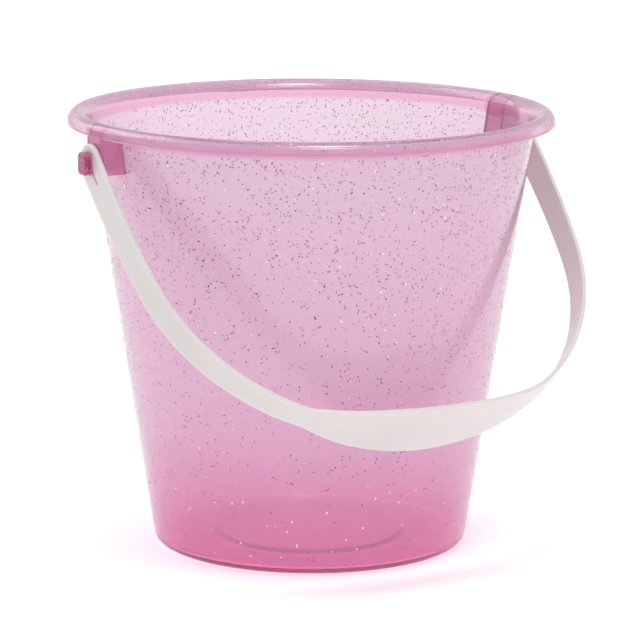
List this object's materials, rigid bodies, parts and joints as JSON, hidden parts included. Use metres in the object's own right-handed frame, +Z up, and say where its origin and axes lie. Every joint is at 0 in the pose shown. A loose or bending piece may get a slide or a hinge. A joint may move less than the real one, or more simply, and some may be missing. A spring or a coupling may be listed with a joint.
{
  "type": "sand bucket",
  "caption": "Tapered child's sand bucket of translucent glitter plastic with a rolled rim and a strap bail that swings on studs.",
  "frame": {"origin": "on the bucket's axis, at the plane of the foot ring that it stands on", "axes": "+Z up along the bucket's axis; X along the bail's pivot axis, through both ears; the bail rests in front, towards -Y"},
  "size_m": [0.1896, 0.1877, 0.1617],
  "materials": {
    "bucket_plastic": "translucent pink moulded plastic with fine glitter, glossy",
    "handle_plastic": "white moulded plastic, semi-gloss"
  },
  "bodies": {
    "bucket": {"bucket": "bucket_plastic"},
    "handle": {"handle": "handle_plastic"}
  },
  "joints": [
    {"name": "handle_swing", "type": "hinge", "parent": "bucket", "child": "handle", "pos_m": [0, 0, 0.148], "axis": [-1, 0, 0], "range_deg": [-6.5, 277.5]}
  ]
}
